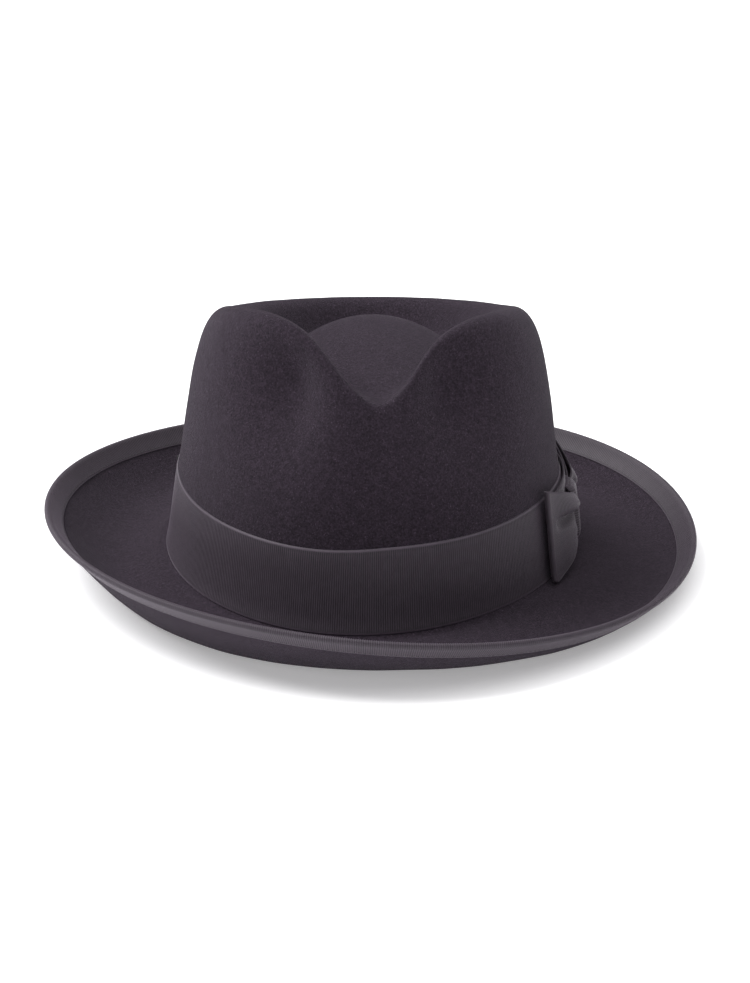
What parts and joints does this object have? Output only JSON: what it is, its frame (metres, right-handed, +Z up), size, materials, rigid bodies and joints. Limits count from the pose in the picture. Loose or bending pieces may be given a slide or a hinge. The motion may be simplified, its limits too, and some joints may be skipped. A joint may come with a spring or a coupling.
{
  "type": "fedora hat",
  "caption": "Dark fur-felt fedora with a pinched teardrop crown, turned-up bound brim, wide ribbon band and flat side bow, leather sweatband and satin lining.",
  "frame": {"origin": "middle of the overall box at the level of the table the brim rests on", "axes": "+Z up, -Y towards the front of the hat, +X towards the wearer's left, the bow side"},
  "size_m": [0.2772, 0.3231, 0.124],
  "materials": {
    "fur_felt": "matte napped fur felt",
    "grosgrain": "ribbed grosgrain ribbon, slight sheen",
    "thread": "twisted polyester sewing thread",
    "sweat_leather": "smooth dark leather, satin",
    "piping_cord": "covered cord",
    "tape": "plain woven tape",
    "satin": "silver-grey satin weave",
    "clear_shield": "clear flexible film",
    "paper_tag": "uncoated paper tag, blank"
  },
  "bodies": {
    "root": {"felt_body": "fur_felt", "brim_binding": "grosgrain", "binding_stitch_upper": "thread", "binding_stitch_lower": "thread", "hat_band": "grosgrain", "band_tack_1": "thread", "band_tack_2": "thread", "band_tack_3": "thread", "band_tack_4": "thread", "bow_base": "grosgrain", "bow_front_loop": "grosgrain", "bow_rear_loop": "grosgrain", "bow_knot": "grosgrain", "bow_stitch": "thread", "sweatband": "sweat_leather", "sweatband_reed": "piping_cord", "reed_tape": "tape", "sweatband_stitching": "thread", "sweatband_seam_tape": "sweat_leather", "sweatband_rear_bow": "tape", "size_tag": "paper_tag", "lining_side": "satin", "lining_tip": "satin", "lining_piping": "piping_cord", "tip_shield": "clear_shield"}
  },
  "joints": []
}
